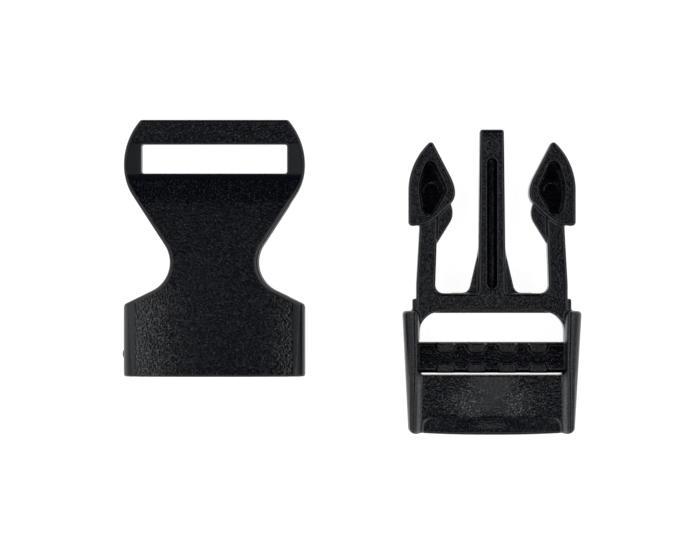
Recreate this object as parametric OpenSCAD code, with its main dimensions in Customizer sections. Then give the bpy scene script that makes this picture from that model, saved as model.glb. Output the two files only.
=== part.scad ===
// Side release buckle for flat webbing, unfastened, its two halves lying side by side.
// Sizes are in millimetres. Each half lies flat with its length along Y and its face up.
// In each half's own plane, u runs across from its centre line and v runs from the joint line,
// which is the socket's mouth or the top of the plug's frame, away from that half's strap or
// towards the plug's tips. The two joint lines meet when the buckle is fastened.

/* [Webbing] */
// Width of the webbing that both halves carry
webbing_w = 25; // [23:0.5:26]
// Width that both strap slots add to the webbing
webbing_play = 1; // [0.6:0.1:1.6]

/* [Layout] */
// Clear space between the two halves
halves_gap = 17.5; // [12:0.5:40]
// How far the plug's strap end lies below the socket's mouth
plug_drop = 10.4; // [6:0.1:14]

/* [Thickness] */
// Thickness of the socket and of the plug frame's top end
buckle_t = 9; // [8.4:0.1:10]
// Thickness of the socket's upper and lower plates
plate_t = 1.5; // [1.2:0.1:1.7]
// Clearance over and under the plug's heads inside the socket
head_play = 0.2; // [0.1:0.05:0.3]
// Thickness of the spring arms, the centre prong and the crossbar
arm_t = 4.4; // [3.8:0.1:4.8]
// Thickness of the socket's strap loop
loop_t = 3.9; // [3:0.1:4.5]

/* [Socket outline] */
// Length of the socket from its mouth to its strap end
socket_l = 45.4; // [43:0.1:49]
// Width of the bar at each side of the socket's strap slot
side_bar_w = 3.05; // [2.8:0.05:3.5]
// Length of the socket's strap slot along the buckle
socket_slot_l = 5.4; // [4.8:0.1:6]
// Width of the bar that closes the socket's strap end
end_bar_w = 4.2; // [3.4:0.1:4.8]
// Half the width of the socket's waist
waist_hw = 7.8; // [7:0.1:8.6]
// Radius of the notch at each side of the waist
waist_r = 5.55; // [5:0.05:6]
// Angle of the shoulders above the mouth section, from straight across
shoulder_angle = 25.8; // [22:0.2:29]
// Angle of the flare from the waist to the strap loop, from straight along
flare_angle = 33.1; // [31:0.2:35]
// Distance of the strap loop's widest line from the strap end
loop_end_l = 7.98; // [7:0.01:9]
// Radius of the strap loop's sides towards the waist
loop_low_r = 9.8; // [8:0.1:11]
// Radius of the strap loop's sides towards the strap end
loop_high_r = 12.1; // [11:0.1:14]
// Radius of the socket's long outer edges
side_edge_r = 4; // [2.5:0.1:4.4]
// Radius of the upper and lower edges of the mouth
mouth_edge_r = 1; // [0.4:0.1:1.3]
// Length over which the socket thins towards its strap slot
thinning_l = 6.8; // [4:0.1:8]
// Thickness that is left at the strap slot's edge, before the step down to the loop
thinned_t = 6.4; // [5:0.1:7.4]
// Length of the step from the body down to the strap loop
loop_step_l = 0.6; // [0.3:0.1:0.8]

/* [Socket inside] */
// Thickness of the side walls behind the lead-in
wall_t = 2.3; // [2:0.05:2.6]
// Thickness of the side walls at the catch
catch_t = 2.95; // [2.7:0.05:3.2]
// How much the lead-in is cut into each side wall
lead_in = 0.6; // [0.4:0.05:0.8]
// Length of the lead-in from the mouth
lead_in_l = 2.6; // [2.4:0.1:3.4]
// Clearance at each side of the centre prong in its pocket
prong_play = 0.3; // [0.15:0.05:0.5]
// Room left beyond the tips of the fastened plug
tip_room = 0.6; // [0.4:0.1:1]

/* [Plug heads and arms] */
// Gap between a relaxed arm and the socket's side wall
arm_gap = 0.35; // [0.25:0.05:0.5]
// Width of an arm at its root
arm_root_w = 3.1; // [2.8:0.05:3.3]
// Width of an arm where it meets its head
arm_neck_w = 2.85; // [2.5:0.05:3.1]
// How far a hook reaches past the catch
hook_reach = 1.65; // [1.3:0.05:1.8]
// Play between a hook and the catch when fastened
hook_play = 1.1; // [0.6:0.1:1.3]
// Length of a head from the back of its hook to its tip
head_l = 14.4; // [13.8:0.1:14.8]
// Width of a head from its hook face to its inner point
head_w = 8.1; // [7.6:0.1:8.4]
// Inset of a head's tip from its hook face
tip_inset = 3.9; // [3.5:0.1:4.2]
// Length of a head's straight hook face
hook_face_l = 6.1; // [5.4:0.1:6.6]
// Width of the rim along the outer side of a head's recess
outer_rim_w = 2.05; // [1.6:0.05:2.3]
// Width of the rim along the inner side of a head's recess
inner_rim_w = 1.4; // [1.1:0.05:1.7]
// Angle that the recess's arched side takes below the straight hook face
recess_low_angle = 28; // [22:1:32]
// Angle that it takes along the arched side
recess_high_angle = 36; // [30:1:42]
// Depth of the recess in a head
recess_d = 3.6; // [2:0.1:3.9]
// Thickness of the rib in the corner of each head and arm
rib_t = 3; // [2:0.1:3.8]
// Length of the rib along the arm, below the head
rib_l = 3.1; // [2:0.1:4]
// Running clearance of an arm's round root in its seat
seat_play = 0.06; // [0.03:0.01:0.1]

/* [Centre prong and crossbar] */
// How far the centre prong reaches past the heads' tips
prong_lead = 2.55; // [1.8:0.05:3]
// Width of the centre prong at its tip
prong_tip_w = 4.15; // [3.6:0.05:4.5]
// Width of the centre prong at its foot
prong_foot_w = 4.75; // [4.6:0.05:5.2]
// Width of the groove along the centre prong
groove_w = 1.7; // [1.2:0.1:2]
// Depth of the groove along the centre prong
groove_d = 1.3; // [0.6:0.1:1.8]
// Distance of the groove from the prong's tip
groove_inset = 5.1; // [4:0.1:7]
// Thickness of the gussets beside the prong's foot
gusset_t = 2.4; // [1.6:0.1:3.4]
// Height of the gussets above the crossbar
gusset_l = 7.7; // [5:0.1:9]
// Reach of each gusset beside the prong at the crossbar
gusset_w = 1.55; // [1:0.05:2]
// Width of the crossbar from the frame's top to its upper edge
crossbar_w = 3.15; // [2.8:0.05:3.3]
// Radius of the corners between the crossbar and what stands on it
window_r = 1.5; // [1:0.1:1.9]
// How far each guide lug stands out from the root of its arm
lug_reach = 0.72; // [0.4:0.02:0.8]
// Length of the guide lugs along the buckle
lug_l = 2.15; // [1.6:0.05:2.3]
// Thickness of the guide lugs
lug_t = 3; // [2:0.1:4]

/* [Plug frame] */
// Length of the plug's frame
frame_l = 21.85; // [21:0.05:24]
// Inset of the frame's sides from the socket's sides at the joint line
rail_inset = 0.42; // [0.2:0.02:0.6]
// How much each side of the frame narrows towards its strap end
rail_taper = 0.95; // [0.4:0.05:1.2]
// Thickness of the frame's side rails at their strap end
rail_end_t = 7; // [6.4:0.1:8]
// Distance of the first strap slot from the top of the frame
slot_drop = 0.15; // [0.05:0.05:0.4]
// Length of the first strap slot along the buckle
frame_slot_l = 5.2; // [5:0.1:5.8]
// Corner radius of the first strap slot at the crossbar
slot_corner_r = 2.7; // [1.5:0.1:3]
// Width of the grip bar
grip_bar_w = 5.5; // [5:0.1:6]
// Thickness of the grip bar without its pads
grip_bar_t = 4; // [3:0.1:4.4]
// Height of the grip bar's underside
grip_bar_z = 1.5; // [1:0.1:2]
// Radius of the grip bar's long edges
grip_edge_r = 1.2; // [0.6:0.1:1.4]
// Length of the narrow second strap slot along the buckle
narrow_slot_l = 0.7; // [0.5:0.05:0.9]
// Height of the end plate's underside
end_plate_z = 1; // [0.4:0.1:1.4]
// Height of the end plate's upper edge at the narrow slot
end_plate_top = 7.2; // [6.6:0.1:7.4]
// Height of the lowest line of the end plate's thumb hollow
thumb_low_z = 5; // [4.4:0.1:5.3]
// Height of the thumb lip above that line
lip_h = 0.6; // [0.3:0.05:1]
// Width of the thumb lip along the buckle
lip_l = 3; // [2:0.1:3.6]
// Distance from each rail to the end of the thumb lip
lip_inset = 0.75; // [0.4:0.05:1.5]
// Corner radius of the thumb lip
lip_r = 1.25; // [0.6:0.05:1.8]
// How far the middle of the end plate bows out past its corners
end_bow = 0.3; // [0.1:0.05:0.6]

/* [Grip pads] */
// Grip pads in each of the two rows
pad_count = 4; // [3:1:5]
// Distance between neighbouring pads
pad_pitch = 5.5; // [5:0.1:5.8]
// Width of a pad at the edge of the bar
pad_foot_w = 3.1; // [2.2:0.1:3.6]
// Width of a pad towards the middle of the bar
pad_tip_w = 2; // [1.2:0.1:2.4]
// Length of a pad from the edge of the bar
pad_l = 1.8; // [1.2:0.1:2.2]
// Height of a pad above the bar
pad_h = 0.45; // [0.2:0.05:0.7]

/* [Hidden] */
$fn = 64;
arc_steps = 10;
past = 1;
plastic = "#1d1e20";

strap_slot_w = webbing_w + webbing_play;
slot_hw = strap_slot_w / 2;
body_hw = slot_hw + side_bar_w;
mid_z = buckle_t / 2;
cavity_t = buckle_t - 2 * plate_t;

// The layout is centred on the origin
rail_top_hw = body_hw - rail_inset;
rail_end_hw = rail_top_hw - rail_taper;
layout_w = 2 * body_hw + halves_gap + 2 * rail_top_hw;
layout_l = socket_l + plug_drop;
socket_x = body_hw - layout_w / 2;
socket_y = layout_l / 2 - socket_l;
plug_x = layout_w / 2 - rail_top_hw;
plug_y = frame_l - layout_l / 2;

// From the strap end towards the mouth: the loop, the straight flare, the waist, and the shoulders
socket_slot_v = socket_l - end_bar_w - socket_slot_l;
widest_v = socket_l - loop_end_l;
loop_u = body_hw - loop_low_r * (1 - cos(flare_angle));
loop_v = widest_v - loop_low_r * sin(flare_angle);
notch_u = waist_hw + waist_r;
flare_u = notch_u - waist_r * cos(flare_angle);
flare_v = loop_v - (loop_u - flare_u) / tan(flare_angle);
waist_v = flare_v - waist_r * sin(flare_angle);
shoulder_u = notch_u - waist_r * sin(shoulder_angle);
shoulder_v = waist_v - waist_r * cos(shoulder_angle);
corner_v = shoulder_v - (body_hw - shoulder_u) * tan(shoulder_angle);

// The inside of the socket, and the catch at the end of each side wall
wall_in = body_hw - wall_t;
catch_in = body_hw - catch_t;
catch_v = shoulder_v - (catch_in - shoulder_u) * tan(shoulder_angle);

// The plug's heads and arms follow the socket's side walls and catch
head_t = cavity_t - 2 * head_play;
hook_u = catch_in + hook_reach;
hook_v = catch_v + hook_play;
tip_u = hook_u - tip_inset;
tip_v = hook_v + head_l;
point_u = hook_u - head_w;
face_v = hook_v + hook_face_l;
face_r = (tip_inset ^ 2 + (tip_v - face_v) ^ 2) / (2 * tip_inset);
arm_root_r = arm_root_w / 2;
pivot_v = crossbar_w + arm_root_r;
arm_out_root = wall_in - arm_gap;
arm_out_neck = catch_in - arm_gap;
pivot_u = arm_out_root - arm_root_r;
arm_in_neck = arm_out_neck - arm_neck_w;
cavity_v = tip_v + tip_room;
prong_l = tip_v + prong_lead;
pocket_v = prong_l + tip_room;

// The frame's slots and bars, downwards from the joint line
grip_bar_v = -slot_drop - frame_slot_l;
end_plate_v = grip_bar_v - grip_bar_w - narrow_slot_l;

function arc(cu, cv, r, from, to) =
    [for (i = [0:arc_steps]) let (a = from + (to - from) * i / arc_steps)
        [cu + r * cos(a), cv + r * sin(a)]];

// A quadratic curve from p to q that leaves p and reaches q in the direction of the knot k
function bend(p, k, q) =
    [for (i = [0:arc_steps]) let (t = i / arc_steps) (1 - t) ^ 2 * p + 2 * t * (1 - t) * k + t ^ 2 * q];

module both_sides() {
    children();
    mirror([1, 0, 0]) children();
}

// Turns a drawing in u and v into a layer of thickness t, centred on height z
module layer(t, z) {
    translate([0, 0, z - t / 2]) linear_extrude(t) children();
}

// Turns a drawing in v and height into a bar of width w across the centre line
module across(w) {
    rotate([90, 0, 90]) linear_extrude(w, center = true) children();
}

module rounded_box(w, h, r) {
    square([w - 2 * r, h], center = true);
    square([w, h - 2 * r], center = true);
    for (x = [r - w / 2, w / 2 - r], y = [r - h / 2, h / 2 - r])
        translate([x, y]) circle(r);
}

module socket_outline() {
    both_sides() {
        difference() {
            polygon([[0, 0], [body_hw, 0], [body_hw, corner_v], [shoulder_u, shoulder_v],
                [flare_u, flare_v], [loop_u, loop_v], [body_hw - loop_low_r, widest_v], [0, widest_v]]);
            translate([notch_u, waist_v]) circle(waist_r);
        }
        intersection() {
            translate([body_hw - loop_low_r, widest_v]) circle(loop_low_r);
            square([body_hw, socket_l]);
        }
        intersection() {
            translate([body_hw - loop_high_r, widest_v]) circle(loop_high_r);
            translate([0, widest_v]) square([body_hw, socket_l - widest_v]);
        }
    }
}

// Seen from the side: rounded at the mouth, thinned towards the slot, and thin at the loop
module socket_side() {
    thin_v = socket_slot_v - thinning_l;
    step_v = socket_slot_v - loop_step_l;
    upper = concat(
        arc(mouth_edge_r, mid_z - mouth_edge_r, mouth_edge_r, 180, 90),
        [[thin_v, mid_z], [step_v, thinned_t / 2], [socket_slot_v, loop_t / 2], [socket_l, loop_t / 2]]);
    lower = [for (i = [len(upper) - 1:-1:0]) [upper[i][0], -upper[i][1]]];
    polygon(concat(upper, lower));
}

module socket_cavity() {
    both_sides() polygon([[0, -past], [wall_in + lead_in, -past], [wall_in + lead_in, lead_in_l],
        [wall_in, lead_in_l + lead_in], [catch_in, catch_v], [2 * body_hw, catch_v],
        [2 * body_hw, cavity_v], [0, cavity_v]]);
}

module socket_half() {
    pocket_w = prong_tip_w + 2 * prong_play;
    color(plastic) translate([socket_x, socket_y, 0]) difference() {
        intersection() {
            layer(buckle_t, mid_z) socket_outline();
            translate([0, 0, mid_z]) across(2 * body_hw) socket_side();
            translate([0, socket_l, mid_z]) rotate([90, 0, 0])
                linear_extrude(socket_l) rounded_box(2 * body_hw, buckle_t, side_edge_r);
        }
        layer(cavity_t, mid_z) socket_cavity();
        layer(arm_t + 2 * prong_play, mid_z) translate([-pocket_w / 2, cavity_v - past])
            square([pocket_w, pocket_v - cavity_v + past]);
        layer(buckle_t, mid_z) translate([-slot_hw, socket_slot_v]) square([strap_slot_w, socket_slot_l]);
    }
}

// The frame's plan, narrowing towards its slightly bowed strap end
module frame_outline() {
    end_v = end_bow - frame_l;
    polygon(concat([[rail_top_hw, 0], [-rail_top_hw, 0]],
        bend([-rail_end_hw, end_v], [0, -frame_l - end_bow], [rail_end_hw, end_v])));
}

module rails() {
    intersection() {
        linear_extrude(buckle_t) difference() {
            frame_outline();
            translate([-slot_hw, -2 * frame_l]) square([strap_slot_w, 3 * frame_l]);
        }
        across(2 * rail_top_hw)
            polygon([[-frame_l, 0], [0, 0], [0, buckle_t], [-frame_l, rail_end_t]]);
    }
}

// The crossbar fills the slot's upper corners, where it runs down into the rails
module crossbar_outline() {
    translate([-arm_out_root, -slot_drop]) square([2 * arm_out_root, slot_drop + crossbar_w]);
    both_sides() difference() {
        translate([slot_hw - slot_corner_r, -slot_drop - slot_corner_r])
            square([slot_corner_r + (rail_end_hw - slot_hw) / 2, slot_corner_r]);
        translate([slot_hw - slot_corner_r, -slot_drop - slot_corner_r]) circle(slot_corner_r);
    }
}

// The low stub that each arm's round root sits in, with the filleted corner of the window beside it
module arm_stub_outline() {
    stub_l = arm_root_r / 2;
    inner_u = pivot_u - arm_root_r;
    translate([inner_u, 0]) square([arm_root_w, crossbar_w + stub_l]);
    intersection() {
        difference() {
            translate([inner_u - window_r, crossbar_w]) square(window_r);
            translate([inner_u - window_r, crossbar_w + window_r]) circle(window_r);
        }
        translate([inner_u - window_r, crossbar_w]) square([window_r, stub_l]);
    }
}

module prong_outline() {
    polygon([[-prong_foot_w / 2, 0], [prong_foot_w / 2, 0],
        [prong_tip_w / 2, prong_l], [-prong_tip_w / 2, prong_l]]);
}

module groove_outline() {
    low_v = crossbar_w + groove_w;
    high_v = prong_l - groove_inset - groove_w / 2;
    translate([-groove_w / 2, low_v]) square([groove_w, high_v - low_v]);
    for (v = [low_v, high_v]) translate([0, v]) circle(groove_w / 2);
}

module gusset_outline() {
    foot_hw = prong_foot_w / 2;
    polygon(concat([[0, 0]],
        bend([foot_hw + gusset_w + window_r, crossbar_w], [foot_hw + gusset_w, crossbar_w],
            [foot_hw + gusset_w, crossbar_w + window_r]),
        [[foot_hw - prong_play / 2, crossbar_w + gusset_l], [0, crossbar_w + gusset_l]]));
}

module grip_bar() {
    bar_z = grip_bar_z + grip_bar_t / 2;
    translate([0, grip_bar_v - grip_bar_w / 2, bar_z])
        across(2 * slot_hw + side_bar_w / 2) rounded_box(grip_bar_w, grip_bar_t, grip_edge_r);
    for (i = [0:pad_count - 1], side = [-1, 1])
        translate([(i - (pad_count - 1) / 2) * pad_pitch, grip_bar_v - grip_bar_w / 2, bar_z])
            linear_extrude(grip_bar_t / 2 + pad_h) pad_outline(side);
}

module pad_outline(side) {
    edge = side * (grip_bar_w / 2 - grip_edge_r / 4);
    inner = edge - side * pad_l;
    polygon([[-pad_foot_w / 2, edge], [pad_foot_w / 2, edge],
        [pad_tip_w / 2, inner], [-pad_tip_w / 2, inner]]);
}

// The end plate is hollowed for a thumb, and its lip stands up along the strap end
module end_plate() {
    plate_w = 2 * slot_hw + side_bar_w / 4;
    lip_v = lip_l - frame_l;
    lip_w = strap_slot_w - 2 * lip_inset;
    knot_v = (end_plate_v + lip_v) / 2;
    hollow = bend([end_plate_v, end_plate_top], [knot_v, thumb_low_z], [lip_v, thumb_low_z]);
    intersection() {
        union() {
            across(plate_w)
                polygon(concat([[-frame_l, end_plate_z], [end_plate_v, end_plate_z]],
                    hollow, [[-frame_l, thumb_low_z]]));
            translate([0, -frame_l, end_plate_z])
                linear_extrude(thumb_low_z + lip_h - end_plate_z) rounded_box(lip_w, 2 * lip_l, lip_r);
        }
        linear_extrude(buckle_t) frame_outline();
    }
}

module plug_frame() {
    color(plastic) translate([plug_x, plug_y, 0]) difference() {
        union() {
            rails();
            layer(arm_t, mid_z) crossbar_outline();
            layer(arm_t, mid_z) both_sides() arm_stub_outline();
            layer(arm_t, mid_z) prong_outline();
            layer(gusset_t, mid_z) both_sides() gusset_outline();
            layer(lug_t, mid_z) translate([-arm_out_root - lug_reach, 0])
                square([2 * (arm_out_root + lug_reach), lug_l]);
            grip_bar();
            end_plate();
        }
        both_sides() translate([pivot_u, pivot_v, mid_z])
            cylinder(h = buckle_t, r = arm_root_r + seat_play, center = true);
        layer(2 * groove_d, mid_z + arm_t / 2) groove_outline();
    }
}

// The rounded diamond of a head: straight hook face, arched outer side, straight inner side
// running down to a rounded inner point, and a curve from there to the back of the hook
module head_outline() {
    knot = [point_u - head_w / 10, hook_v + 0.38 * head_l];
    low_knot = [hook_u - head_w / 2, hook_v];
    side_end = knot + 0.35 * ([tip_u, tip_v] - knot);
    low_start = knot + 0.3 * (low_knot - knot);
    arch = asin((tip_v - face_v) / face_r);
    polygon(concat([[hook_u, hook_v]],
        arc(hook_u - face_r, face_v, face_r, 0, arch),
        bend(side_end, knot, low_start),
        bend(low_start, low_knot, [hook_u - 0.3 * head_w, hook_v])));
}

// The recess leaves a rim of even width along the arched side and a thinner one at the inner point
module recess_outline() {
    outer = arc(hook_u - face_r, face_v, face_r - outer_rim_w, -recess_low_angle, recess_high_angle);
    top = outer[arc_steps] - [head_w / 10, 0];
    low = outer[0] - [head_w / 12, 0];
    knot_u = 2 * (point_u + inner_rim_w) - (top[0] + low[0]) / 2;
    polygon(concat(outer, bend(top, [knot_u, face_v], low)));
}

// The rib fills the corner between a head's inner point and its arm, below their upper faces
module rib_outline() {
    foot_v = hook_v - rib_l;
    side_v = hook_v + 1.2 * rib_l;
    side_u = point_u + 0.1 * head_w;
    polygon(concat([[arm_out_neck - arm_neck_w / 2, foot_v], [arm_in_neck, foot_v]],
        bend([side_u, hook_v + 0.1 * rib_l], [point_u, hook_v + 0.63 * rib_l], [side_u, side_v]),
        [[arm_out_neck - arm_neck_w / 2, side_v]]));
}

module spring_arm() {
    difference() {
        union() {
            translate([pivot_u, pivot_v, mid_z]) cylinder(h = arm_t, r = arm_root_r, center = true);
            layer(arm_t, mid_z) polygon([[pivot_u + arm_root_r, pivot_v], [arm_out_neck, hook_v + past],
                [arm_in_neck, hook_v + past], [pivot_u - arm_root_r, pivot_v]]);
            layer(head_t, mid_z) head_outline();
            layer(rib_t, mid_z) rib_outline();
        }
        layer(2 * recess_d, mid_z + head_t / 2) recess_outline();
    }
}

module right_spring_arm() {
    color(plastic) translate([plug_x, plug_y, 0]) spring_arm();
}

module left_spring_arm() {
    color(plastic) translate([plug_x, plug_y, 0]) mirror([1, 0, 0]) spring_arm();
}

socket_half();
plug_frame();
left_spring_arm();
right_spring_arm();
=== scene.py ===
import math

import bpy
import numpy as np
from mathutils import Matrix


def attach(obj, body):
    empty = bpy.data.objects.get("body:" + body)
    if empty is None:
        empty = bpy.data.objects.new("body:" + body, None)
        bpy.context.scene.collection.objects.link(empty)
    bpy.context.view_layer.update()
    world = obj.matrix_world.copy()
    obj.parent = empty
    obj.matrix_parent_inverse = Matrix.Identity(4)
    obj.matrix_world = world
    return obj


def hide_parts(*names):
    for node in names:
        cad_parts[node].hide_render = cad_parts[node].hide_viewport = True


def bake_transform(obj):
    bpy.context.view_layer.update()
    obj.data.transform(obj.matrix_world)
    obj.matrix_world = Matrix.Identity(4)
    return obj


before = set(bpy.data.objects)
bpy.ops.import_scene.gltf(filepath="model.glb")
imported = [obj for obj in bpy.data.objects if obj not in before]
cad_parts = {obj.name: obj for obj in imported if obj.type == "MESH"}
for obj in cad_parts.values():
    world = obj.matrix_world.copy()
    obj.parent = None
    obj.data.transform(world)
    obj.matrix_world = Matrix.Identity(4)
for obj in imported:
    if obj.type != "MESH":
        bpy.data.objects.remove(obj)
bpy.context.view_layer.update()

# Socket half
# The half that takes the plug: a flat moulded shell with a waist at each side, where fingers reach
# the plug's arms, and a thinner loop for the webbing. It is one shot of black plastic from a mould
# with a fine leather grain on its faces and plain polished bands along its sides.

# All sizes are in millimetres: u is across from the centre line, v along, up the photo,
# and z up from the table. Outlines are drawn for the right half. They run past the centre line, and
# past an end that something else cuts off, so that only real edges count.
MM = 0.001
MID_Z = 4.5
SOCKET_AT = (-24.38, -17.5)
SOCKET_LENGTH = 45.4
BODY_HALF, MOUTH_HALF, MOUTH_V = 16.08, 16.12, -0.2
SLOT_HALF = 12.9
SLOT_LOW, SLOT_HIGH = 35.85, 41.0
WAIST_CENTRE, WAIST_RADIUS = (13.38, 20.07), 5.55
SHOULDER_ANGLE, FLARE_ANGLE = math.radians(25.8), math.radians(33.1)
SHOULDER_RADIUS = 0.9
LOOP_LOW_RADIUS, LOOP_HIGH_RADIUS, LOOP_CORNER_RADIUS, WIDEST = 9.8, 12.1, 0.8, 37.42
LOOP_HALF_T = 1.95
STEP_FROM, STEP_TO, THINNED_HALF_T, STEP_TOP_RADIUS, STEP_FOOT_RADIUS = 32.1, 35.2, 3.15, 14, 3
EARLY_FALL, LATE_FALL_POWER = 0.85, 3.4
SIDE_EDGE_ACROSS, SIDE_EDGE_DOWN = 2.0, 2.1
PLATE_EDGE_RADIUS, LOOP_EDGE_RADIUS, MOUTH_EDGE_RADIUS = 0.7, 0.5, 0.35
CAVITY_HALF_T, CAVITY_TAPER, CAVITY_END = 2.8, 0.7, 30.26
POCKET_HALF, POCKET_HALF_T, POCKET_END = 2.375, 2.5, 32.81
CATCH_HALF, WALL_HALF, CATCH_AT, WALL_RELIEF, RELIEF_FROM, RELIEF_TO = 13.1, 13.75, 14.16, 0.6, 2.6, 3.2
CROWN_DROP, CROWN_HALF, CROWN_POWER = 1.1, 14.35, 2.6
MOUTH_DROP, MOUTH_FALL = 0.22, 2.2
NUB_V, NUB_SIZE = 3.8, (0.28, 0.75, 0.5)
POLISHED_FROM, POLISHED_FULL, POLISHED_END = 13.75, 14.05, 34
# Strengths of the painted glints on the grain: all over, and more where the light falls most.
TIPS_ALL_OVER, TIPS_LEFT_FLARE, TIPS_FAR_BAR, TIPS_RIGHT_FLARE = 0.13, 0.62, 0.08, 0.25
# Strength, and depth in from the outline, of a painted highlight line along the right side of the waist.
EDGE_HIGHLIGHT, EDGE_HIGHLIGHT_DEPTH = 0.2, 0.55
SOCKET_CELL = 0.235


def round_meet(a, b, radius):
    """Distance to what lies inside both a and b, with the edge between them rounded off."""
    over = np.hypot(np.maximum(a + radius, 0), np.maximum(b + radius, 0))
    return np.minimum(np.maximum(a, b), -radius) + over


def round_join(a, b, radius):
    """Distance to what lies inside a or b, with the corner between them filled to a radius."""
    return -round_meet(-a, -b, radius)


def line_meet(p, along_p, q, along_q):
    """The point where the line through p along along_p crosses the line through q along along_q."""
    s = np.linalg.solve(np.array([along_p, (-along_q[0], -along_q[1])]).T, np.subtract(q, p))
    return p[0] + s[0] * along_p[0], p[1] + s[0] * along_p[1]


def rounded_outline(corners, step=math.radians(2.5)):
    """Closed outline through corners (u, v, radius), each turned into an arc that touches both sides."""
    points = []
    for i, (u, v, radius) in enumerate(corners):
        here = np.array([u, v])
        if radius == 0:
            points.append(here)
            continue
        back = np.subtract(corners[i - 1][:2], here)
        on = np.subtract(corners[(i + 1) % len(corners)][:2], here)
        back, on = back / np.linalg.norm(back), on / np.linalg.norm(on)
        half = math.acos(np.clip(back @ on, -1, 1)) / 2
        middle = (back + on) / np.linalg.norm(back + on)
        centre = here + middle * radius / math.sin(half)
        first = here + back * radius / math.tan(half) - centre
        sweep = math.pi - 2 * half
        if back[0] * on[1] - back[1] * on[0] > 0:
            sweep = -sweep
        share = np.linspace(0, 1, max(2, int(abs(sweep) / step) + 2))
        turn = math.atan2(first[1], first[0]) + share * sweep
        points.extend(centre + radius * np.stack([np.cos(turn), np.sin(turn)], 1))
    return np.array(points)


def chart(points, low, high, pitch=0.06):
    """Distance to a closed outline, as a function of (u, v). It is worked out once on a flat grid from
    low to high, as the least distance to any edge, negative where an odd number of edges lies to one
    side, and read from there in proportion between the four nearest grid points."""
    u, v = [a + pitch * np.arange(int((b - a) / pitch) + 2) for a, b in zip(low, high)]
    u, v = u[:, None], v[None, :]
    best, inside = np.full((u.size, v.size), 1e9), np.zeros((u.size, v.size), bool)
    for (au, av), (bu, bv) in zip(points, np.roll(points, -1, 0)):
        du, dv = bu - au, bv - av
        along = np.clip(((u - au) * du + (v - av) * dv) / (du * du + dv * dv + 1e-12), 0, 1)
        best = np.minimum(best, (u - au - along * du) ** 2 + (v - av - along * dv) ** 2)
        if dv:
            inside ^= ((av > v) != (bv > v)) & (u < au + (v - av) * du / dv)
    table = np.where(inside, -1, 1) * np.sqrt(best)

    def read(u, v):
        i = np.clip((u - low[0]) / pitch, 0, table.shape[0] - 1.001)
        j = np.clip((v - low[1]) / pitch, 0, table.shape[1] - 1.001)
        i, j = np.broadcast_arrays(i, j)
        a, b = i.astype(np.int32), j.astype(np.int32)
        i, j = i - a, j - b
        return (table[a, b] * (1 - i) * (1 - j) + table[a + 1, b] * i * (1 - j)
                + table[a, b + 1] * (1 - i) * j + table[a + 1, b + 1] * i * j)
    return read


def slopes(field, points, probe=0.03):
    """Value and gradient of a field at points, from its values at the corners of a small tetrahedron."""
    corners = np.array([[1, -1, -1], [-1, -1, 1], [-1, 1, -1], [1, 1, 1]])
    values = [field(*(points + probe * c).T) for c in corners]
    gradient = sum(c[None, :] * f[:, None] for c, f in zip(corners, values)) / (4 * probe)
    return sum(values) / 4, gradient


def skin(field, low, high, cell):
    """Surface where a distance field is zero. A box of cells is laid over the part; each cell that the
    surface passes through gets one vertex, at the mean of the crossings on its edges, then drawn onto
    the surface along the field's slope; and each crossed cell edge gets one four-sided face between the
    vertices of the four cells around it. Gives vertices, faces and outward normals, in millimetres."""
    axes = [a + cell * np.arange(int((b - a) / cell) + 2) for a, b in zip(low, high)]
    value = field(*np.meshgrid(*axes, indexing="ij", sparse=True))
    inside = value < 0
    corner = [(slice(i, -1 + i or None), slice(j, -1 + j or None), slice(k, -1 + k or None))
              for i in (0, 1) for j in (0, 1) for k in (0, 1)]
    count = sum(inside[c].astype(np.int8) for c in corner)
    used = (count > 0) & (count < 8)
    number = np.full(used.shape, -1, np.int64)
    number[used] = np.arange(used.sum())
    at = np.argwhere(used)
    total, crossings = np.zeros((len(at), 3)), np.zeros(len(at))
    for axis in range(3):
        for near in ((0, 0), (0, 1), (1, 0), (1, 1)):
            start = at.copy()
            start[:, (axis + 1) % 3] += near[0]
            start[:, (axis + 2) % 3] += near[1]
            stop = start.copy()
            stop[:, axis] += 1
            a, b = value[tuple(start.T)], value[tuple(stop.T)]
            crossed = (a < 0) != (b < 0)
            share = np.where(crossed, a / np.where(crossed, a - b, 1), 0)
            total += np.where(crossed[:, None], start + share[:, None] * (stop - start), 0)
            crossings += crossed
    points = np.array(low) + cell * total / crossings[:, None]
    for _ in range(3):
        f, g = slopes(field, points)
        move = f / np.maximum((g * g).sum(1), 0.2)
        points = points - np.clip(move, -cell, cell)[:, None] * g
    _, normals = slopes(field, points)
    faces = []
    for axis in range(3):
        here = [slice(1, -1)] * 3
        here[axis] = slice(0, -1)
        there = list(here)
        there[axis] = slice(1, None)
        a, b = inside[tuple(here)], inside[tuple(there)]
        for leaving in (True, False):
            base = np.argwhere(a & ~b if leaving else b & ~a)
            base[:, (axis + 1) % 3] += 1
            base[:, (axis + 2) % 3] += 1
            ring = []
            for du, dv in ((1, 1), (0, 1), (0, 0), (1, 0)):
                c = base.copy()
                c[:, (axis + 1) % 3] -= du
                c[:, (axis + 2) % 3] -= dv
                ring.append(number[tuple(c.T)])
            faces.append(np.stack(ring if leaving else ring[::-1], 1))
    return points, np.concatenate(faces), normals / np.linalg.norm(normals, axis=1)[:, None]


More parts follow.
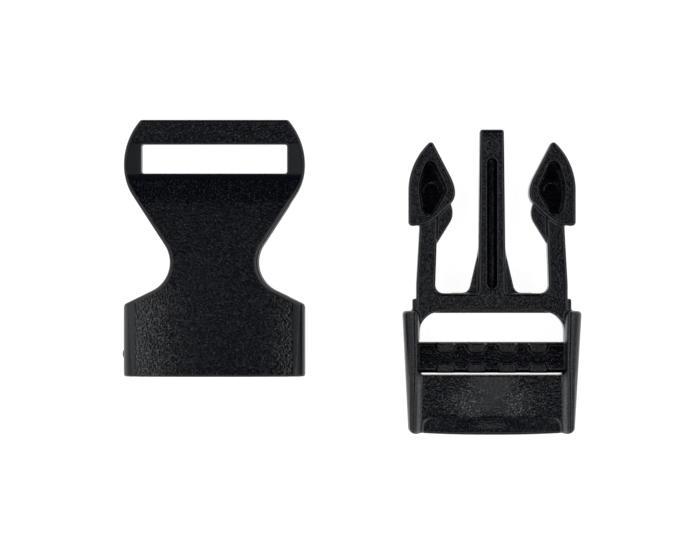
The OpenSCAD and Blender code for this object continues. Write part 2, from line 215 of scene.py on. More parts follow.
def make_piece(name, shift, points, faces, normals, **marks):
    """A mesh object from vertices in the piece's own millimetres, moved to its place, with its smooth
    normals and one number per vertex for each mark that its material reads."""
    kept, faces = np.unique(faces, return_inverse=True)
    faces = faces.reshape(-1, 4)
    mesh = bpy.data.meshes.new(name)
    mesh.vertices.add(len(kept))
    mesh.loops.add(faces.size)
    mesh.polygons.add(len(faces))
    place = (points[kept] + np.array([*shift, 0])) * MM
    mesh.vertices.foreach_set("co", place.astype(np.float32).ravel())
    mesh.loops.foreach_set("vertex_index", faces.ravel())
    mesh.polygons.foreach_set("loop_start", np.arange(0, faces.size, 4))
    mesh.polygons.foreach_set("use_smooth", np.ones(len(faces), bool))
    mesh.update(calc_edges=True)
    mesh.validate()
    for mark, numbers in marks.items():
        layer = mesh.attributes.new(mark, "FLOAT", "POINT")
        each = np.broadcast_to(numbers, points.shape[:1])[kept]
        layer.data.foreach_set("value", each.astype(np.float32))
    mesh.normals_split_custom_set_from_vertices(normals[kept])
    piece = bpy.data.objects.new(name, mesh)
    bpy.context.scene.collection.objects.link(piece)
    return piece


def shade(low, high, x):
    """0 below low, 1 above high, and a smooth change between."""
    t = np.clip((x - low) / (high - low), 0, 1)
    return t * t * (3 - 2 * t)


shoulder_at = (WAIST_CENTRE[0] - WAIST_RADIUS * math.sin(SHOULDER_ANGLE),
               WAIST_CENTRE[1] - WAIST_RADIUS * math.cos(SHOULDER_ANGLE))
shoulder_along = (-math.cos(SHOULDER_ANGLE), math.sin(SHOULDER_ANGLE))
flare_at = (WAIST_CENTRE[0] - WAIST_RADIUS * math.cos(FLARE_ANGLE),
            WAIST_CENTRE[1] + WAIST_RADIUS * math.sin(FLARE_ANGLE))
flare_along = (math.sin(FLARE_ANGLE), math.cos(FLARE_ANGLE))
loop_turn = math.asin((SOCKET_LENGTH - WIDEST) / LOOP_HIGH_RADIUS)
socket_plan = chart(rounded_outline([
    (-2, -6, 0), (MOUTH_HALF, -6, 0),
    (*line_meet(shoulder_at, shoulder_along, (MOUTH_HALF, 0), (0, 1)), SHOULDER_RADIUS),
    (*line_meet(shoulder_at, shoulder_along, flare_at, flare_along), WAIST_RADIUS),
    (*line_meet(flare_at, flare_along, (BODY_HALF, 0), (0, 1)), LOOP_LOW_RADIUS),
    (BODY_HALF, WIDEST + LOOP_HIGH_RADIUS * math.tan(loop_turn / 2), LOOP_HIGH_RADIUS),
    (BODY_HALF - LOOP_HIGH_RADIUS * (1 - math.cos(loop_turn)), SOCKET_LENGTH, LOOP_CORNER_RADIUS),
    (-2, SOCKET_LENGTH, 0)]), (-0.2, -2), (17.5, 47))
falling = np.linspace(0, STEP_FROM, 24)[:-1]
late_fall = MID_Z - THINNED_HALF_T - EARLY_FALL
fall = EARLY_FALL * falling / STEP_FROM + late_fall * (falling / STEP_FROM) ** LATE_FALL_POWER
socket_side = chart(rounded_outline([
    (-8, -2, 0), (-8, MID_Z, 0), *[(v, MID_Z - drop, 0) for v, drop in zip(falling, fall)],
    (STEP_FROM, THINNED_HALF_T, STEP_TOP_RADIUS), (STEP_TO, LOOP_HALF_T, STEP_FOOT_RADIUS),
    (SOCKET_LENGTH + 6, LOOP_HALF_T, 0), (SOCKET_LENGTH + 6, -2, 0)]), (-2, -0.2), (47, 5.5))
cavity_plan = chart(rounded_outline([
    (-2, -6, 0), (WALL_HALF + WALL_RELIEF, -6, 0), (WALL_HALF + WALL_RELIEF, RELIEF_FROM, 0.5),
    (WALL_HALF, RELIEF_TO, 0.5),
    (CATCH_HALF, CATCH_AT, 0.3), (2 * BODY_HALF, CATCH_AT, 0), (2 * BODY_HALF, CAVITY_END, 0),
    (-2, CAVITY_END, 0)]), (-0.2, -2), (17.5, 33))


def socket_field(u, v, z):
    """The outline drawn through the thickness and the side view, cut by the rounded cross section, with
    every outer edge rounded, less the cavity, the prong's pocket and the strap slot."""
    across, height = np.abs(u), np.abs(z - MID_Z)
    crown = CROWN_DROP * np.minimum(across / CROWN_HALF, 1.1) ** CROWN_POWER * (1 - shade(12, 28, v))
    crown = np.where(z > MID_Z, crown + MOUTH_DROP * np.maximum(1 - v / MOUTH_FALL, 0) ** 2, 0)
    plan = socket_plan(across, v)
    side = socket_side(v, height + crown)
    half = MOUTH_HALF + (BODY_HALF - MOUTH_HALF) * shade(14, 30, v)
    x = np.maximum(across - half + SIDE_EDGE_ACROSS, 0)
    y = np.maximum(height + crown - MID_Z + SIDE_EDGE_DOWN, 0)
    reach = np.hypot(x / SIDE_EDGE_ACROSS, y / SIDE_EDGE_DOWN)
    slope = np.maximum(np.hypot(x / SIDE_EDGE_ACROSS ** 2, y / SIDE_EDGE_DOWN ** 2), 0.02)
    tube = np.where(reach > 0.4, (reach - 1) * reach / slope, -1.5)
    tube = np.maximum(tube, np.maximum(across - half, height + crown - MID_Z))
    edge_radius = PLATE_EDGE_RADIUS + (LOOP_EDGE_RADIUS - PLATE_EDGE_RADIUS) * shade(32, 35, v)
    body = np.maximum(round_meet(plan, side, edge_radius), tube)
    body = round_meet(body, MOUTH_V - v, MOUTH_EDGE_RADIUS)
    thick, long, high = NUB_SIZE
    nub = ((u + MOUTH_HALF) / thick) ** 2 + ((v - NUB_V) / long) ** 2 + ((z - MID_Z) / high) ** 2
    body = round_join(body, (np.sqrt(nub) - 1) * thick, 0.1)
    roof = height - CAVITY_HALF_T + CAVITY_TAPER * shade(6, 26, v)
    cavity = round_meet(cavity_plan(across, v), roof, 0.4)
    pocket = np.maximum(np.maximum(across - POCKET_HALF, v - POCKET_END), height - POCKET_HALF_T)
    slot = round_meet(across - SLOT_HALF, np.abs(v - (SLOT_LOW + SLOT_HIGH) / 2)
                      - (SLOT_HIGH - SLOT_LOW) / 2, 0.35)
    body = round_meet(body, -cavity, 0.2)
    return round_meet(np.maximum(body, -pocket), -slot, 0.4)


points, faces, normals = skin(socket_field, (-16.9, -0.6, -0.3), (16.6, 45.8, 9.3), SOCKET_CELL)
u, v, z = points.T
across = np.abs(u)
depth = -socket_plan(across, v)
grained = shade(0.35, 0.9, depth) * shade(0.2, 0.6, np.abs(normals[:, 2]))
grained *= np.where(v < POLISHED_END, 1 - shade(POLISHED_FROM, POLISHED_FULL, across), 1)
beside_slot = shade(34.3, 35.3, v) * (1 - shade(SLOT_HIGH + 0.1, SLOT_HIGH + 0.4, v))
grained *= 1 - beside_slot
# Painted glints on the grain: a little all over, most on the left flare, some on the right flare and the
# far bar, where the light catches the grain.
left_flare = (1 - shade(-14, -2, u)) * (1 - shade(8, 20, v))
right_flare = shade(9, 12, u) * (1 - shade(10, 13, v))
far_bar = shade(SLOT_HIGH, SLOT_HIGH + 1, v)
tips = TIPS_ALL_OVER + TIPS_LEFT_FLARE * left_flare + TIPS_FAR_BAR * far_bar
tips = grained * (tips + TIPS_RIGHT_FLARE * right_flare)
# Painted highlight: a pale line on the top face just inside the right-hand edge of the waist and flare,
# where the rounded edge catches the light.
painted_edge_highlight = EDGE_HIGHLIGHT * (1 - shade(0.05, 0.25, np.abs(depth - EDGE_HIGHLIGHT_DEPTH))) * shade(0.5, 0.7, normals[:, 2])
painted_edge_highlight *= (u > 3) * shade(14, 17, v) * (1 - shade(31, 34, v))
socket = make_piece("socket", SOCKET_AT, points, faces, normals, grain=grained, wear=painted_edge_highlight, tips=tips)


# The plastic's colours and the grain's measures, in metres and in cells per metre. The pale grey is
# painted light: the colour of the painted glints and painted highlight lines. The pin edge's height is in
# parts of the grain's height.
DARKEST, DARK, PAINTED_LIGHT_GREY = (0.0006, 0.0011, 0.0032, 1), (0.0018, 0.0022, 0.0046, 1), (0.14, 0.14, 0.145, 1)
ACETAL_IOR = 1.42
WARP_CELLS, WARP_REACH, GRIT_CELLS, TIP_CELLS, CELL_SOFTNESS = 900, 0.0004, 3800, 3300, 0.35
TIP_PICK_FROM, TIP_EDGE, TIP_FULL = 0.35, 0.55, 0.3
POLISHED_GRAIN = 0.04
PIN_EDGE, PIN_EDGE_HEIGHT = 0.0001, 2.5


def math_step(tree, operation, *values):
    """One math node in a node tree, fed with numbers and outputs in turn. Gives its output."""
    step = tree.nodes.new("ShaderNodeMath")
    step.operation = operation
    for place, value in zip(step.inputs, values):
        if isinstance(value, (int, float)):
            place.default_value = value
        else:
            tree.links.new(value, place)
    return step.outputs[0]


def ranged(tree, value, low, high, at_low, at_high, kind="LINEAR"):
    """An output carried from the range low to high over to at_low to at_high, and held at its ends."""
    change = tree.nodes.new("ShaderNodeMapRange")
    change.interpolation_type = kind
    for key, number in (("From Min", low), ("From Max", high), ("To Min", at_low), ("To Max", at_high)):
        change.inputs[key].default_value = number
    tree.links.new(value, change.inputs["Value"])
    return change.outputs[0]


def moulded_grain():
    """Node group for the mould's grain: rounded cells about 0.4 mm across, drawn out of line by noise,
    with finer grit over them. Gives its height, the grit alone, and spots on grains' tips where painted
    glints go."""
    group = bpy.data.node_groups.new("moulded_grain", "ShaderNodeTree")
    for name, default in (("Amount", 1.0), ("Cells per metre", 3000.0), ("Grit", 0.3)):
        socket_in = group.interface.new_socket(name, in_out="INPUT", socket_type="NodeSocketFloat")
        socket_in.default_value = default
    for name in ("Height", "Grit", "Tips"):
        group.interface.new_socket(name, in_out="OUTPUT", socket_type="NodeSocketFloat")
    nodes, links = group.nodes, group.links
    inputs, outputs = nodes.new("NodeGroupInput"), nodes.new("NodeGroupOutput")
    place = nodes.new("ShaderNodeTexCoord").outputs["Object"]
    warp = nodes.new("ShaderNodeTexNoise")
    warp.inputs["Scale"].default_value = WARP_CELLS
    warp.inputs["Detail"].default_value = 2
    links.new(place, warp.inputs["Vector"])
    shift = nodes.new("ShaderNodeVectorMath")
    shift.operation = "MULTIPLY_ADD"
    shift.inputs[1].default_value = (WARP_REACH, WARP_REACH, WARP_REACH)
    links.new(warp.outputs["Color"], shift.inputs[0])
    links.new(place, shift.inputs[2])
    cells = nodes.new("ShaderNodeTexVoronoi")
    cells.feature = "SMOOTH_F1"
    cells.inputs["Smoothness"].default_value = CELL_SOFTNESS
    links.new(shift.outputs[0], cells.inputs["Vector"])
    links.new(inputs.outputs["Cells per metre"], cells.inputs["Scale"])
    grit = nodes.new("ShaderNodeTexNoise")
    grit.inputs["Scale"].default_value = GRIT_CELLS
    grit.inputs["Detail"].default_value = 3
    links.new(place, grit.inputs["Vector"])
    links.new(grit.outputs["Fac"], outputs.inputs["Grit"])
    fine = math_step(group, "MULTIPLY", grit.outputs["Fac"], inputs.outputs["Grit"])
    both = math_step(group, "SUBTRACT", fine, cells.outputs["Distance"])
    height = math_step(group, "MULTIPLY", both, inputs.outputs["Amount"])
    links.new(height, outputs.inputs["Height"])
    # Spots for painted glints: a random share of small cells, pale at their middles.
    peaks = nodes.new("ShaderNodeTexVoronoi")
    peaks.inputs["Scale"].default_value = TIP_CELLS
    links.new(shift.outputs[0], peaks.inputs["Vector"])
    pick = nodes.new("ShaderNodeSeparateColor")
    links.new(peaks.outputs["Color"], pick.inputs[0])
    picked = ranged(group, pick.outputs[0], TIP_PICK_FROM, 1, 0, 1)
    near_peak = ranged(group, peaks.outputs["Distance"], TIP_EDGE, TIP_FULL, 0, 1)
    links.new(math_step(group, "MULTIPLY", picked, near_peak), outputs.inputs["Tips"])
    return group


def pin_step(tree, height, at, radius):
    """Adds to a height the edge that an ejector pin leaves: a round face a hair below the rest."""
    away = tree.nodes.new("ShaderNodeVectorMath")
    away.operation = "DISTANCE"
    away.inputs[1].default_value = at
    tree.links.new(tree.nodes.new("ShaderNodeTexCoord").outputs["Object"], away.inputs[0])
    low, high = radius - PIN_EDGE, radius + PIN_EDGE
    edge = ranged(tree, away.outputs["Value"], low, high, 0, 1, "SMOOTHSTEP")
    return math_step(tree, "MULTIPLY_ADD", edge, PIN_EDGE_HEIGHT, height)


def black_plastic(name, grain_height, cells, smooth_roughness, grain_roughness, grit, pins=()):
    """Black acetal: near-black, satin where the mould was polished, duller where it is grained, with
    painted glints and painted highlight lines mixed into its colour.
    """
    material = bpy.data.materials.new(name)
    material.use_nodes = True
    tree = material.node_tree
    nodes, links = tree.nodes, tree.links
    plastic = nodes["Principled BSDF"]
    plastic.inputs["IOR"].default_value = ACETAL_IOR
    marks = {}
    for mark in ("grain", "wear", "tips"):
        reader = nodes.new("ShaderNodeAttribute")
        reader.attribute_name = mark
        marks[mark] = reader.outputs["Fac"]
    grain = nodes.new("ShaderNodeGroup")
    grain.node_tree = bpy.data.node_groups.get("moulded_grain") or moulded_grain()
    grain.inputs["Grit"].default_value = grit
    grain.inputs["Cells per metre"].default_value = cells
    amount = math_step(tree, "MULTIPLY_ADD", marks["grain"], 1 - POLISHED_GRAIN, POLISHED_GRAIN)
    links.new(amount, grain.inputs["Amount"])
    height = grain.outputs["Height"]
    for at, radius in pins:
        height = pin_step(tree, height, at, radius)
    bump = nodes.new("ShaderNodeBump")
    bump.inputs["Distance"].default_value = grain_height
    links.new(height, bump.inputs["Height"])
    links.new(bump.outputs[0], plastic.inputs["Normal"])
    rough = ranged(tree, marks["grain"], 0, 1, smooth_roughness, grain_roughness)
    links.new(rough, plastic.inputs["Roughness"])
    tint = nodes.new("ShaderNodeMix")
    tint.data_type = "RGBA"
    tint.inputs[6].default_value = DARKEST
    tint.inputs[7].default_value = DARK
    links.new(grain.outputs["Grit"], tint.inputs[0])
    # Painted light: how far the colour goes to pale grey, from the painted glints on grain tips and the
    # painted highlight lines.
    paler = math_step(tree, "MULTIPLY_ADD", marks["tips"], grain.outputs["Tips"], marks["wear"])
    painted_light_mix = nodes.new("ShaderNodeMix")
    painted_light_mix.data_type = "RGBA"
    painted_light_mix.inputs[7].default_value = PAINTED_LIGHT_GREY
    links.new(paler, painted_light_mix.inputs[0])
    links.new(tint.outputs[2], painted_light_mix.inputs[6])
    links.new(painted_light_mix.outputs[2], plastic.inputs["Base Color"])
    return material


socket.data.materials.append(black_plastic(
    "socket_plastic", grain_height=0.00005, cells=2500, smooth_roughness=0.24, grain_roughness=0.16,
    grit=0.4))
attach(socket, "root")
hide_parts("socket_half")

# Plug
# The half that is pushed in: a square frame for the webbing, a crossbar with a centre prong, and two
# springy arms with hooked heads. All of it is one shot of the same plastic, so it is worked out as one
# surface and then parted at the foot of each arm.
PLUG_AT = (24.90, -6.05)
RAIL_TOP_HALF, RAIL_END_HALF, FRAME_LENGTH, END_V, END_BOW = 15.90, 14.78, 21.85, -22.07, 0.5
RAIL_END_T = 7.0
BEVEL_FROM, BEVEL_RUN, BEVEL_WIDTH, BEVEL_DROP = -9.5, 12, 0.95, 0.6
BEVEL_ACROSS, BEVEL_UP = 0.79, 0.61
SLOT_HALF_PLUG, PLATE_SIDE = 12.98, 14
ARM_HALF_T, HEAD_HALF_T, GUSSET_HALF_T, RIB_HALF_T = 2.2, 2.8, 1.2, 1.5
ARM_OUT_ROOT, ARM_IN_ROOT, ARM_OUT_NECK, ARM_IN_NECK, ROOT_V = 13.45, 10.1, 12.8, 9.66, 4.7
CROSSBAR_TOP, SLOT_TOP = 3.15, -0.05
LUG_HALF, LUG_V, LUG_HALF_W, LUG_HALF_T = 14.12, 0.89, 1.26, 1.5
PINS = ((29.1, 1.25), (1.75, 1.16))
PRONG_LENGTH, PRONG_TIP_HALF, PRONG_FOOT_HALF = 32.21, 2.13, 2.45
GROOVE_LOW, GROOVE_HIGH, GROOVE_HALF, GROOVE_DEPTH = 4.85, 26.26, 0.85, 2.5
GRIP_V, GRIP_Z, GRIP_HALF_W, GRIP_HALF_T, GRIP_EDGE, GRIP_TILT = -8.28, 3.5, 2.75, 2.0, 1.2, 0.11
PAD_AT, PAD_HALF, PAD_RISE = (2.75, 8.25), 1.15, 0.7
PAD_SPREAD, PAD_SLANT = (0.956, 0.292), (0.894, 0.447)
PLATE_TOP_V, PLATE_TOP_Z, PLATE_MID_Z, PLATE_LOW_Z, PLATE_UNDER_Z = -11.37, 7.2, 5.7, 4.9, 1.0
LIP_V, LIP_HALF, LIP_CORNER, LIP_TOP_Z = -18.95, 12.4, 1.8, 5.62
HOOK_U, HOOK_V, TIP_U, TIP_V, POINT_U, FACE_V, FACE_R = 14.83, 15.26, 10.63, 30.17, 6.57, 21.36, 11.75
HEAD_L, HEAD_W = 14.4, 8.1
PIN_AT, PIN_RADIUS = (10.7, 21.5), 1.55
RECESS_DEPTH, RECESS_TILT, RECESS_DRAFT, RIDGE_HEIGHT = 3.5, 0.14, 0.08, 0.055
PART_V, PART_HALF, BEND_FROM, BEND_TO = 3.7, 6, 4.0, 10.0
PLUG_CELL = 0.21


def bend(p, k, q, steps=16):
    """Quadratic curve from p to q that starts and ends in the direction of the knot k."""
    t = np.linspace(0, 1, steps + 1)[:, None]
    return (1 - t) ** 2 * np.array(p) + 2 * t * (1 - t) * np.array(k) + t ** 2 * np.array(q)


spine_plan = chart(rounded_outline([
    (-2, SLOT_TOP, 0), (SLOT_HALF_PLUG, SLOT_TOP, 4.1), (SLOT_HALF_PLUG, -5, 0), (PLATE_SIDE, -5, 0),
    (PLATE_SIDE, -0.9, 0),
    (ARM_OUT_ROOT, -0.9, 0), (ARM_OUT_ROOT, ROOT_V, 6), (ARM_OUT_NECK, HOOK_V + 1, 0), (12.4, 20, 0),
    (10.6, 20, 0), (ARM_IN_NECK, HOOK_V + 1, 0), (ARM_IN_ROOT, CROSSBAR_TOP, 1.5),
    (PRONG_FOOT_HALF, CROSSBAR_TOP, 0.5), (PRONG_TIP_HALF, PRONG_LENGTH, 0.45),
    (-2, PRONG_LENGTH, 0)]), (-0.2, -6), (16, 33))
gusset_plan = chart(rounded_outline([
    (-2, 1, 0), (7, 1, 0), (7, CROSSBAR_TOP, 0), (4.15, CROSSBAR_TOP, 1.6), (2.2, 11.5, 0), (-2, 11.5, 0)]),
    (-0.2, -1), (9, 13))
plate_side = chart(rounded_outline(
    [(-30, PLATE_UNDER_Z, 0), (PLATE_TOP_V, PLATE_UNDER_Z, 0.5), (PLATE_TOP_V, PLATE_TOP_Z, 0.25)]
    + [(*p, 0) for p in bend((PLATE_TOP_V, PLATE_TOP_Z), ((PLATE_TOP_V + LIP_V) / 2, PLATE_MID_Z),
                             (LIP_V, PLATE_LOW_Z))[1:]]
    + [(-30, PLATE_LOW_Z, 0)]), (-24, -1), (-10, 9.5))
knot = np.array([POINT_U - HEAD_W / 10, HOOK_V + 0.38 * HEAD_L])
side_end = knot + 0.35 * (np.array([TIP_U, TIP_V]) - knot)
low_start = knot + 0.3 * (np.array([HOOK_U - HEAD_W / 2, HOOK_V]) - knot)
beyond_tip = knot + 1.4 * (np.array([TIP_U, TIP_V]) - knot)
head_inner = chart(np.concatenate([
    [beyond_tip], bend(side_end, knot, low_start),
    bend(low_start, (HOOK_U - HEAD_W / 2, HOOK_V), (HOOK_U - 0.3 * HEAD_W, HOOK_V)),
    [[30, HOOK_V - 2.0], [30, beyond_tip[1]]]]), (5, 13), (16.5, 33))


def head_field(across, v, z):
    """The head's outline is what lies inside its arched outer side, its inner side and its back, with
    the tip and the hook's corner rounded."""
    height = np.abs(z - MID_Z)
    arch = np.where(v > FACE_V, np.hypot(across - HOOK_U + FACE_R, v - FACE_V) - FACE_R, across - HOOK_U)
    plan = round_meet(arch, head_inner(across, v), 0.8)
    return round_meet(plan, height - HEAD_HALF_T, 0.5)


recess_plan = chart(rounded_outline([
    (11.1, 28.2, 1.0), (7.85, 21.5, 2.0), (10.25, 17.25, 0.9), (12.4, 17.25, 0.9), (13.02, 20.9, 5),
    (12.92, 22.4, 5), (12.6, 24.0, 5)]), (5.5, 15.5), (14.5, 29.5))
rib_plan = chart(np.concatenate([
    [[11.3, 12.1], [ARM_IN_NECK, 12.1]],
    bend((POINT_U + 0.98, HOOK_V + 0.25), (POINT_U - 0.1, HOOK_V + 1.9), (POINT_U + 0.8, HOOK_V + 3.9)),
    [[11.3, 18.9]]]), (5, 10), (13, 21))


def plug_field(u, v, z):
    """Rails, crossbar, arms, prong, grip bar, end plate and heads, joined with small fillets."""
    across, height = np.abs(u), np.abs(z - MID_Z)
    end = END_V + END_BOW * (across / RAIL_END_HALF) ** 2 - v
    slant = math.atan2(RAIL_TOP_HALF - RAIL_END_HALF, FRAME_LENGTH)
    outer = (across - RAIL_TOP_HALF) * math.cos(slant) - v * math.sin(slant)
    over_rail = z - 2 * MID_Z - v * (2 * MID_Z - RAIL_END_T) / FRAME_LENGTH
    rail = round_meet(round_meet(outer, over_rail * 0.996, 2.5), -z, 1.6)
    rail = round_meet(rail, SLOT_HALF_PLUG - across, 0.35)
    bevel = SLOT_HALF_PLUG + BEVEL_WIDTH * np.clip((BEVEL_FROM - v) / BEVEL_RUN, 0, 1)
    bevel = (bevel - across) * BEVEL_ACROSS + (over_rail + BEVEL_DROP) * BEVEL_UP
    rail = round_meet(rail, bevel, 0.5)
    rail = round_meet(rail, np.maximum(v, end), 0.7)
    spine = round_meet(spine_plan(across, v), height - ARM_HALF_T, 0.5)
    gusset = round_meet(gusset_plan(across, v), height - GUSSET_HALF_T, 0.3)
    lug = round_meet(across - LUG_HALF, np.abs(v - LUG_V) - LUG_HALF_W, 0.3)
    lug = round_meet(lug, height - LUG_HALF_T, 0.3)
    from_grip = np.abs(v - GRIP_V)
    off_bar = np.abs(z - GRIP_Z + GRIP_TILT * (v - GRIP_V)) - GRIP_HALF_T
    bar = np.hypot(np.maximum(from_grip - GRIP_HALF_W + GRIP_EDGE, 0),
                   np.maximum(off_bar + GRIP_EDGE, 0)) - GRIP_EDGE
    from_pad = np.minimum(*(np.abs(across - at) for at in PAD_AT))
    pad = (from_pad - PAD_HALF) * PAD_SPREAD[0] - (from_grip - 1.05) * PAD_SPREAD[1]
    pad = round_meet(pad, np.abs(from_grip - 1.75) - 0.7, 0.5)
    above_pad = z - GRIP_Z - GRIP_HALF_T - PAD_RISE
    pad = round_meet(PAD_SLANT[0] * pad + PAD_SLANT[1] * above_pad, above_pad, 0.12)
    pad = np.maximum(np.maximum(pad, GRIP_Z + GRIP_HALF_T - 0.3 - z), from_grip - GRIP_HALF_W)
    bar = np.maximum(round_join(bar, pad, 0.05), across - PLATE_SIDE)
    down = np.clip((PLATE_TOP_V - v) / (PLATE_TOP_V - LIP_V), 0, 1)
    flatter = shade(0.5, 6, across) * shade(2, 4, z) * (-0.45 + 1.7 * down - 0.65 * down ** 2)
    plate = np.maximum(plate_side(v, z - flatter), across - PLATE_SIDE)
    lip = round_meet(across - LIP_HALF, v - LIP_V, LIP_CORNER)
    inwards = np.clip(LIP_V - v, 0, 2)
    lip_slope = -0.13 + 0.26 * shade(0, 11, across)
    lip_top = LIP_TOP_Z + lip_slope * inwards - 0.032 * inwards ** 2
    lip = np.maximum(round_meet(lip, z - lip_top, 0.25), 3 - z)
    plate = round_meet(round_join(plate, lip, 0.3), end, 0.6)
    whole = round_join(spine, gusset, 0.3)
    whole = round_join(round_join(whole, lug, 0.2), rail, 0.5)
    whole = round_join(round_join(whole, plate, 1.0), bar, 0.1)
    head = head_field(across, v, z)
    rib = round_meet(rib_plan(across, v), height - RIB_HALF_T, 0.35)
    whole = round_join(whole, round_join(head, rib, 0.3), 0.35)
    deep = MID_Z + HEAD_HALF_T - z
    from_ring = np.abs(np.hypot(across - PIN_AT[0], v - PIN_AT[1]) - PIN_RADIUS)
    ridge = RIDGE_HEIGHT * (1 - shade(0, 0.4, from_ring)) * shade(-1, 0.5, v - PIN_AT[1])
    floor = RECESS_DEPTH + RECESS_TILT * (v - PIN_AT[1]) - ridge
    walls = recess_plan(across, v) + RECESS_DRAFT * np.clip(deep, 0, 3)
    recess = np.maximum(round_meet(walls, (deep - floor) * 0.7, 0.06), -deep - 1)
    whole = round_meet(whole, -recess, 0.2)
    groove = np.hypot(u, np.maximum(np.maximum(GROOVE_LOW - v, v - GROOVE_HIGH), 0)) - GROOVE_HALF
    groove = round_meet(groove, MID_Z + ARM_HALF_T - GROOVE_DEPTH - z, 0.8)
    return round_meet(whole, -groove, 0.22)


points, faces, normals = skin(plug_field, (-16.1, -22.3, -0.3), (16.1, 32.6, 9.3), PLUG_CELL)
u, v, z = points.T
across, facing_up = np.abs(u), normals[:, 2]
on_plate = (v < PLATE_TOP_V) & (across < 12.9)
on_pad = (np.abs(v - GRIP_V) < GRIP_HALF_W) & (z > GRIP_Z + GRIP_HALF_T + 0.55)
in_groove = (z < MID_Z + ARM_HALF_T - 0.4) & (across < GROOVE_HALF) & (v > GROOVE_LOW)
# A patch each side of the end plate's middle where the grain is coarser and carries more painted glints.
grain_and_glint_patch = np.exp(-((across - 4.6) / 2.6) ** 2 - ((v + 16.2) / 2.4) ** 2)
# The strip along each rail's inner bevel towards the end: rougher grain, with a painted highlight and
# painted glints laid over it, where the bevel catches the side light.
strip = shade(-10, -13, v) * shade(12.6, 12.9, across) * (1 - shade(13.1, 13.6, across))
strip *= shade(0.3, 0.5, facing_up) * (1 - shade(0.88, 0.97, facing_up))
grained = shade(0.3, 0.7, facing_up) * np.where(v < 0, 1 - shade(12.6, 12.9, across), 0.8)
coarser = 0.8 + 0.2 * shade(0.5, 4, across) + 2.4 * grain_and_glint_patch
grained = np.where(on_plate & (v > LIP_V), grained * coarser, grained)
grained = np.where(on_pad, 0.3, grained)
grained = np.where(in_groove, 1.8, grained)
grained = grained + (2.2 - grained) * strip
# Painted highlight: a pale line along the lip's top edge, faint in the middle and strongest towards its
# corners, where the edge catches the light.
lip_edge = round_meet(across - LIP_HALF, v - LIP_V, LIP_CORNER)
on_lip_edge = (1 - shade(0.05, 0.2, np.abs(lip_edge + 0.1))) * (z > 4.5) * shade(0.2, 0.4, facing_up)
# Painted highlight lines: the rail bevel strip and the lip's edge turn towards pale grey.
painted_edge_lines = np.maximum(0.6 * strip, (0.06 + 0.3 * shade(8.5, 12, across)) * on_lip_edge)
# Painted glints on the grain tips: faint over the plug, more on the crossbar, the end plate and its
# patches, and the rail bevel strips.
tips = np.where(v < 0, 0.15, 0.1) + 0.12 * (np.abs(v - 1) < 2.5)
tips = np.where(on_plate, 0.2 + 0.12 * shade(0, 3, across) + 0.95 * grain_and_glint_patch, tips)
tips = np.where(v < LIP_V, 0.16, tips)
tips = np.where(on_pad, 0.2, tips) * shade(0.3, 0.7, facing_up) + 0.5 * strip
centre = points[faces].mean(1)
on_arm = (centre[:, 1] > PART_V) & (np.abs(centre[:, 0]) > PART_HALF)
pins = [((PLUG_AT[0] * MM, (PLUG_AT[1] + at) * MM, (MID_Z + ARM_HALF_T) * MM), radius * MM)
        for at, radius in PINS]
plug_plastic = black_plastic(
    "plug_plastic", grain_height=0.000034, cells=2600, smooth_roughness=0.24, grain_roughness=0.17,
    grit=0.5, pins=pins)
for name, mine, body in (("plug_body", ~on_arm, "root"),
                         ("left_arm_skin", on_arm & (centre[:, 0] < 0), "left_arm"),
                         ("right_arm_skin", on_arm & (centre[:, 0] > 0), "right_arm")):
    piece = make_piece(name, PLUG_AT, points, faces[mine], normals, grain=grained, wear=painted_edge_lines, tips=tips)
    piece.data.materials.append(plug_plastic)
    if body == "root":
        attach(piece, "root")
        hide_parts("plug_frame")
    else:
        side = -1 if body == "left_arm" else 1
        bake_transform(piece)
        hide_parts("left_spring_arm" if side < 0 else "right_spring_arm")

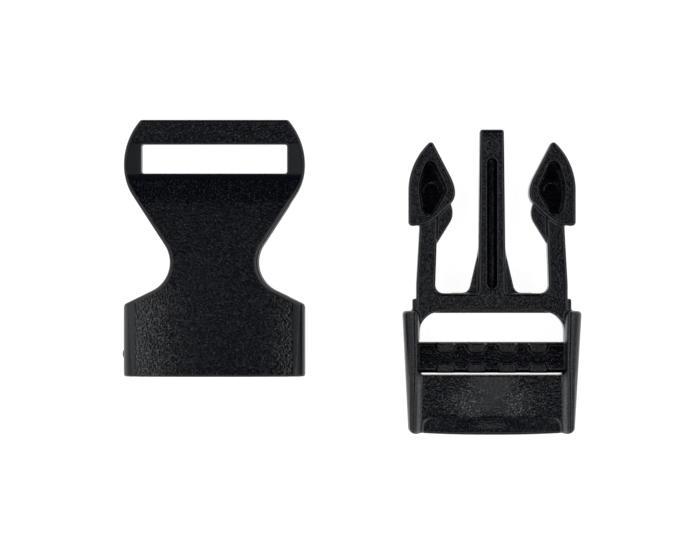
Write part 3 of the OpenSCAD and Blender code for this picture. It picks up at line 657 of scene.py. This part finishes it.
# Table, light tent and camera
# The buckle lies on a white light table inside a light tent: its walls glow softly, the left one the
# most, and the ceiling is dark but for a small bright patch round the camera, which looks down.
table = bpy.data.meshes.new("table")
table.from_pydata([(-1, -1, 0), (1, -1, 0), (1, 1, 0), (-1, 1, 0)], [], [(0, 1, 2, 3)])
table_object = bpy.data.objects.new("table", table)
bpy.context.scene.collection.objects.link(table_object)
white = bpy.data.materials.new("white_table")
white.use_nodes = True
table_surface = white.node_tree.nodes["Principled BSDF"]
table_surface.inputs["Base Color"].default_value = (0.3, 0.3, 0.3, 1)
table_surface.inputs["Roughness"].default_value = 0.9
table_surface.inputs["Specular IOR Level"].default_value = 0.1
table_surface.inputs["Emission Color"].default_value = (1, 1, 1, 1)
table_surface.inputs["Emission Strength"].default_value = 0.93
table.materials.append(white)

world = bpy.data.worlds.new("light_tent")
bpy.context.scene.world = world
world.use_nodes = True
sky = world.node_tree
parts = sky.nodes.new("ShaderNodeSeparateXYZ")
sky.links.new(sky.nodes.new("ShaderNodeTexCoord").outputs["Generated"], parts.inputs[0])


def glow(axis, low, high, at_low, at_high):
    """Brightness that changes smoothly as the direction's part along an axis goes from low to high."""
    return ranged(sky, parts.outputs[axis], low, high, at_low, at_high, "SMOOTHSTEP")


left = math_step(sky, "MULTIPLY", glow("X", -0.5, -0.18, 1.8, 0.0), glow("X", -0.85, -0.5, 0.45, 1.0))
right = math_step(sky, "MULTIPLY", glow("X", 0.3, 0.45, 0.0, 1.6), glow("X", 0.7, 0.97, 1.0, 0.35))
near = math_step(sky, "MULTIPLY", glow("Y", -0.58, -0.33, 1.25, 0.0), glow("Y", -0.9, -0.5, 0.45, 1.0))
far = glow("Y", 0.84, 0.98, 0.0, 0.9)
sides = math_step(sky, "MAXIMUM", left, right)
walls = math_step(sky, "MAXIMUM", sides, math_step(sky, "MAXIMUM", near, far))
hood = glow("Z", 0.996, 0.999, 0.0, 2.3)
tent = sky.nodes["Background"]
sky.links.new(math_step(sky, "ADD", walls, hood), tent.inputs["Strength"])
tent.inputs["Color"].default_value = (0.97, 0.99, 1.0, 1)

CAMERA_HEIGHT, MM_PER_PIXEL, PHOTO_WIDTH, SENSOR = 550, 0.178, 700, 36
CAMERA_AIM = (-0.303, 0.863)
camera_data = bpy.data.cameras.new("camera")
camera_data.sensor_width = SENSOR
camera_data.lens = SENSOR * (CAMERA_HEIGHT - MID_Z) / MM_PER_PIXEL / PHOTO_WIDTH
camera_data.clip_start, camera_data.clip_end = 0.05, 5
camera = bpy.data.objects.new("camera", camera_data)
camera.location = (CAMERA_AIM[0] * MM, CAMERA_AIM[1] * MM, CAMERA_HEIGHT * MM)
bpy.context.scene.collection.objects.link(camera)
bpy.context.scene.camera = camera
bpy.context.scene.view_settings.view_transform = "Standard"
